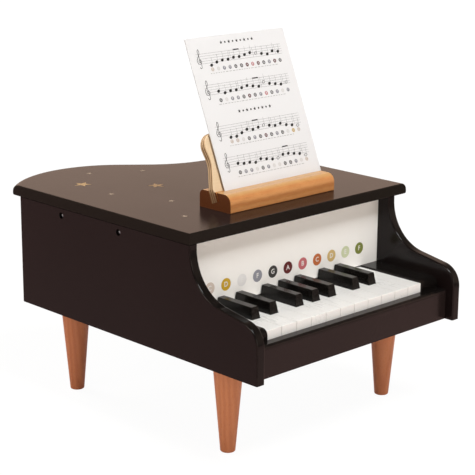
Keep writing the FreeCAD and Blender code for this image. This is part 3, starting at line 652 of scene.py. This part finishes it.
# The clef's pen line, in staff spaces from the crossing of its spine and the second line
CLEF_LINE = [
    (0.25, -0.35), (-0.40, -0.30), (-0.45, 0.50), (0.35, 0.85), (1.05, 0.15), (0.65, -0.95), (-0.45, -1.10),
    (-1.35, -0.25), (-1.15, 1.00), (-0.10, 2.10), (0.70, 3.20), (0.75, 4.40), (0.35, 5.00), (-0.15, 4.30),
    (-0.02, 2.90), (0.30, 0.20), (0.55, -1.90), (0.25, -2.80), (-0.45, -2.75), (-0.60, -2.20),
]
CLEF_PEN = 0.115


def clef(shape, across, up):
    """Treble clef drawn with a round pen, then pressed flat."""
    curve = bpy.data.curves.new("clef", "CURVE")
    curve.dimensions = "3D"
    curve.bevel_depth = CLEF_PEN * STAFF_SPACE
    curve.bevel_resolution = 1
    curve.resolution_u = 5
    curve.use_fill_caps = True
    line = curve.splines.new("NURBS")
    line.points.add(len(CLEF_LINE) - 1)
    for point, (right, rise) in zip(line.points, CLEF_LINE):
        point.co = (right * STAFF_SPACE, rise * STAFF_SPACE, 0, 1)
    line.order_u = 3
    line.use_endpoint_u = True
    holder = bpy.data.objects.new("clef", curve)
    outline = bpy.data.meshes.new_from_object(holder)
    flatten = Matrix.Diagonal((1, 1, INK / (2 * curve.bevel_depth), 1))
    outline.transform(Matrix.Translation((across, up, INK / 2)) @ flatten)
    shape.from_mesh(outline)
    bpy.data.objects.remove(holder)
    bpy.data.curves.remove(curve)
    bpy.data.meshes.remove(outline)


def staff(shape, lines, paper, middle, tune, beamed, hollow):
    """Five lines, a clef, bar lines and notes, some with open heads. Gives each note's place across."""
    bottom = middle - 2 * STAFF_SPACE
    for line in range(5):
        level = bottom + line * STAFF_SPACE
        bar(lines, STAFF_LEFT, level - LINE_WIDTH / 2, STAFF_RIGHT, level + LINE_WIDTH / 2)
    clef(shape, STAFF_LEFT + CLEF_INSET_SHARE * STAFF_SPACE, bottom + STAFF_SPACE)
    first, last = STAFF_LEFT + FIRST_NOTE_INSET, STAFF_RIGHT - LAST_NOTE_INSET
    pitch = (last - first) / (len(tune) - 1)
    places = [first + index * pitch for index in range(len(tune))]
    for index in BAR_LINES_AFTER:
        across = places[index] + pitch / 2
        bar(lines, across - LINE_WIDTH / 2, bottom, across + LINE_WIDTH / 2, bottom + 4 * STAFF_SPACE)
    tops = []
    for index, (across, step) in enumerate(zip(places, tune)):
        level = bottom + (step - LOWEST_LINE_STEP) * STAFF_SPACE / 2
        disc(shape, across, level, HEAD_HALF_LENGTH, HEAD_HALF_HEIGHT, HEAD_SEGMENTS, HEAD_TURN)
        if index in hollow:
            disc(paper, across, level, OPEN_SHARE * HEAD_HALF_LENGTH, OPEN_SHARE * HEAD_HALF_HEIGHT,
                 HEAD_SEGMENTS, HEAD_TURN, base=INK)
        if step == 0:
            reach = LEDGER_SHARE * HEAD_HALF_LENGTH
            bar(lines, across - reach, level - LINE_WIDTH / 2, across + reach, level + LINE_WIDTH / 2)
        stem = across + HEAD_HALF_LENGTH - LINE_WIDTH
        bar(lines, stem - LINE_WIDTH / 2, level, stem + LINE_WIDTH / 2, level + STEM_LENGTH)
        tops.append((stem, level + STEM_LENGTH))
    (left, left_top), (right, right_top) = (tops[index] for index in beamed)
    high = max(left_top, right_top)
    bar(shape, left - LINE_WIDTH / 2, high - BEAM_SHARE * STAFF_SPACE, right + LINE_WIDTH / 2, high)
    for stem, top in ((left, left_top), (right, right_top)):
        bar(lines, stem - LINE_WIDTH / 2, top - LINE_WIDTH, stem + LINE_WIDTH / 2, high)
    return places


def card_print(card_lay):
    """Staves of plain exercises with a coloured dot under each note, short rules, and small ornaments."""
    black, lines, grey, white = bmesh.new(), bmesh.new(), bmesh.new(), bmesh.new()
    dots = {name: bmesh.new() for name in CARD_COLOURS}
    ruler = random.Random(DASH_SEED)
    for middle, tune, beamed, hollow in zip(STAFF_LEVELS, TUNES, BEAMED, HOLLOW):
        bottom = middle - 2 * STAFF_SPACE
        for across, step in zip(staff(black, lines, white, middle, tune, beamed, hollow), tune):
            level = bottom - CARD_DOT_DROP
            disc(dots[CARD_COLOURS[step]], across, level, CARD_DOT_RADIUS, CARD_DOT_RADIUS, CARD_DOT_SEGMENTS)
            letter(white, LETTERS[step], across, level, CARD_LETTER_SIZE)
        low = bottom - DASH_DROP
        left = STAFF_LEFT + DASH_INSET
        while left < STAFF_RIGHT - DASH_INSET:
            right = left + ruler.uniform(*DASH_LENGTHS)
            bar(grey, left, low, right, low + DASH_WIDTH)
            left = right + DASH_GAP
    middle_across = (STAFF_LEFT + STAFF_RIGHT) / 2
    for level in TITLE_LEVELS:
        for index in range(-ORNAMENTS_ASIDE, ORNAMENTS_ASIDE + 1):
            across = middle_across + index * ORNAMENT_PITCH
            if index % 2:
                disc(black, across, level, ORNAMENT_RADIUS / 2, ORNAMENT_RADIUS / 2, ORNAMENT_SEGMENTS)
            else:
                star(black, across, level, ORNAMENT_RADIUS, 0)
    piece("card_notes", black, "song_card", inks["black"], card_lay)
    piece("card_staves", lines, "song_card", inks["grey_line"], card_lay)
    piece("card_rules", grey, "song_card", inks["soft_black"], card_lay)
    piece("card_letters", white, "song_card", inks["card_white"], card_lay)
    for name, shape in dots.items():
        piece(f"card_dots_{name}", shape, "song_card", inks[f"card_{name}"], card_lay)


def card_slope():
    """The way up the card's slope, which is the way it slides out."""
    lift = next(joint for joint in frame["joints"] if joint["child"] == "song_card")
    return Vector(lift["axis"]).normalized()


def card_front():
    """Matrix that lays a drawing on the card's front, from its lower left corner."""
    across, up = Vector((1, 0, 0)), card_slope()
    out = across.cross(up)
    corners = [vertex.co for vertex in frame["nodes"]["song_card"].data.vertices]
    origin = (across * min(corner.dot(across) for corner in corners)
              + up * min(corner.dot(up) for corner in corners)
              + out * max(corner.dot(out) for corner in corners))
    return laid_on(origin, across, up)


# Stage

def softbox(name, place, size, watts, tone, mirrored):
    """Square soft lamp, which shows in gloss or only lights the piano."""
    lamp = bpy.data.lights.new(name, "AREA")
    lamp.size = size
    lamp.energy = watts
    lamp.color = tone
    holder = bpy.data.objects.new(name, lamp)
    holder.location = place
    holder.visible_glossy = mirrored
    holder.rotation_euler = (Vector(LAMP_AIM) - Vector(place)).to_track_quat("-Z", "Y").to_euler()
    bpy.context.scene.collection.objects.link(holder)


def seen_directly(place):
    """1 for what the camera sees, and for what shows in gloss or through glass."""
    rays = [place.node("ShaderNodeLightPath", None, None, f"Is {kind} Ray")
            for kind in ("Camera", "Glossy", "Transmission")]
    return rays[0].math("MAXIMUM", rays[1]).math("MAXIMUM", rays[2])


def white_room():
    """World that is white to the camera. In gloss it is warm, and darker overhead and on the near side."""
    world = bpy.data.worlds.new("studio")
    bpy.context.scene.world = world
    world.use_nodes = True
    world.node_tree.nodes.clear()
    way = Shade(world.node_tree.nodes.new("ShaderNodeTexCoord").outputs["Generated"])
    ahead = way.axis(X) * CAMERA_WAY[X] + way.axis(Y) * CAMERA_WAY[Y]
    low = 1 - way.axis(Z).step(0.30, 0.75) * 0.85
    room = ahead.step(-0.55, 0.60) * low * 0.90 + low * 0.18
    camera_ray = way.node("ShaderNodeLightPath", None, None, "Is Camera Ray")
    shown = camera_ray.math("MAXIMUM", room)
    direct = seen_directly(way)
    strength = direct * (shown - ROOM_FILL) + ROOM_FILL
    tone = (direct * (1 - camera_ray)).blend((*WARM, 1), (1.0, 0.72, 0.57, 1))
    tone = camera_ray.blend(tone, WHITE)
    light = way.node("ShaderNodeBackground", None, {"Color": tone, "Strength": strength})
    way.node("ShaderNodeOutputWorld", None, {"Surface": light})


def white_floor():
    """Floor that is white to the camera, with the piano's soft shadow. In gloss it is dim and warm, and nearly
    black on the right."""
    shape = bmesh.new()
    bmesh.ops.create_grid(shape, x_segments=1, y_segments=1, size=FLOOR_HALF_SIZE)
    mesh = bpy.data.meshes.new("floor")
    shape.to_mesh(mesh)
    shape.free()
    floor = bpy.data.objects.new("floor", mesh)
    bpy.context.scene.collection.objects.link(floor)
    paper = bpy.data.materials.new("floor_paper")
    paper.use_nodes = True
    paper.node_tree.nodes.clear()
    place = Shade(paper.node_tree.nodes.new("ShaderNodeTexCoord").outputs["Object"])
    far = place.node("ShaderNodeVectorMath", {"operation": "LENGTH"}, {0: place}, "Value").step(0.35, 1.0)
    share = seen_directly(place) * (0.93 + far * 0.07)
    matt = place.node("ShaderNodeBsdfDiffuse", None, {"Color": (0.94, 0.89, 0.85, 1)})
    camera_ray = place.node("ShaderNodeLightPath", None, None, "Is Camera Ray")
    front = (place.axis(X) - place.axis(Y)).step(-0.5, 0.4)
    mirrored = front.blend((0.48, 0.285, 0.27, 1), (0.75, 0.46, 0.42, 1))
    mirrored = (place.axis(X).step(0.42, 0.58) * 0.75).blend(mirrored, (0.10, 0.08, 0.07, 1))
    shown = camera_ray.blend(mirrored, WHITE)
    white = place.node("ShaderNodeEmission", None, {"Color": shown, "Strength": FLOOR_WHITE})
    both = place.node("ShaderNodeMixShader", None, {0: share, 1: matt, 2: white})
    place.node("ShaderNodeOutputMaterial", None, {"Surface": both})
    mesh.materials.append(paper)


def camera():
    """Camera at the photograph's place and angle."""
    turn, tilt, roll = (math.radians(angle) for angle in (CAMERA_TURN, CAMERA_TILT, CAMERA_ROLL))
    level = Vector((math.cos(turn), math.sin(turn), 0))
    back = Vector((math.sin(turn) * math.cos(tilt), -math.cos(turn) * math.cos(tilt), math.sin(tilt)))
    steep = back.cross(level)
    right = level * math.cos(roll) + steep * math.sin(roll)
    up = steep * math.cos(roll) - level * math.sin(roll)
    lens = bpy.data.cameras.new("camera")
    lens.lens = CAMERA_LENS
    holder = bpy.data.objects.new("camera", lens)
    holder.matrix_world = Matrix.Translation(CAMERA_PLACE) @ Matrix((right, up, back)).transposed().to_4x4()
    bpy.context.scene.collection.objects.link(holder)
    bpy.context.scene.camera = holder


def dress(finish, *names):
    """Give CAD nodes a finish."""
    for name in names:
        node = frame["nodes"][name]
        for holder in node.material_slots:
            holder.material = finish


inks = {name: material(f"print_{name}", ink(colour)) for name, colour in NOTE_COLOURS.items()}
for colour_name in CARD_COLOURS:
    dull = tuple(part * CARD_DOT_SHARE for part in NOTE_COLOURS[colour_name][:3]) + (1.0,)
    inks[f"card_{colour_name}"] = material(f"print_card_{colour_name}", ink(dull))
inks["card_white"] = material("print_card_white", ink(srgb(224, 223, 224)))
inks["black"] = material("print_black", ink(srgb(14, 13, 13), 0.6))
inks["soft_black"] = material("print_soft_black", ink(srgb(138, 134, 132)))
inks["grey_line"] = material("print_grey_line", ink(srgb(112, 110, 112)))
inks["white"] = material("print_white", ink(srgb(244, 242, 239)))
star_gold = material("star_gold", gold_leaf(srgb(186, 156, 106)))
star_pale = material("star_pale", gold_leaf(srgb(164, 150, 132)))

brown, deep_brown, black_brown = srgb(36, 27, 26), srgb(29, 22, 21), srgb(17, 14, 13)
board_paint = material("case_paint_boards",
                       case_paint(X, 0.10, srgb(29, 21, 21), srgb(22, 16, 16), black_brown))
lid_paint = material("case_paint_lid", case_paint(Z, 0.16, brown, deep_brown, srgb(29, 25, 21), 1.2))
rail_paint = material("case_paint_rail", case_paint(Y, 0.16, brown, deep_brown, black_brown))
rim_paint = material("case_paint_rim", case_paint(Z, 0.12, brown, deep_brown, black_brown, across=False))
leg_beech = material("beech_legs", beech(Z, srgb(208, 134, 88), srgb(184, 107, 66), srgb(150, 86, 52),
                                         LEG_HEART_SHIFT))
stand_beech = material("beech_stand", beech(X, srgb(224, 161, 100), srgb(186, 113, 59), srgb(114, 62, 28),
                                            STAND_HEART_SHIFT))
card_lean = math.atan2(card_slope().y, card_slope().z)
stand_ply = material("plywood_backrest", plywood(card_lean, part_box("stand_base")[1].z))
inner_wood = material("planed_wood", planed_wood)
bright_steel = material("drawn_steel", steel(srgb(196, 196, 198), 0.22))
bright_screw = material("plated_screw", steel(srgb(214, 240, 248), 0.06))

dress(board_paint, "left_side_panel", "right_side_panel", "left_cheek_block", "right_cheek_block")
dress(lid_paint, "lid", "bottom_board")
dress(rail_paint, "front_rail")
dress(rim_paint, "rim")
dress(material("panel_white", panel_white), "name_panel")
dress(leg_beech, "rear_left_leg", "front_left_leg", "front_right_leg")
dress(stand_beech, "stand_base")
dress(stand_ply, "stand_backrest")
dress(material("card_stock", card_stock), "song_card")
dress(material("felt", felt), "felt_strips")
dress(inner_wood, "key_battens", "tone_bar_rails")
dress(bright_steel, "key_rod", "hammer_rod", "tone_bars", "tone_bar_pins", "leg_studs")
white_lacquer = material("key_white", key_white)
black_lacquer = material("key_black", key_black)
for node_name in frame["nodes"]:
    if node_name.startswith("key_") and node_name not in ("key_rod", "key_battens"):
        dress(black_lacquer if node_name.endswith("sharp") else white_lacquer, node_name)
    if node_name.startswith("hammer_") and node_name != "hammer_rod":
        dress(inner_wood, node_name)

cross_screws()
note_dots()
lid_stars()
card_print(card_front())
white_room()
white_floor()
for lamp_name, setup in LAMPS.items():
    softbox(lamp_name, *setup)
camera()
bpy.context.scene.view_settings.view_transform = "Standard"
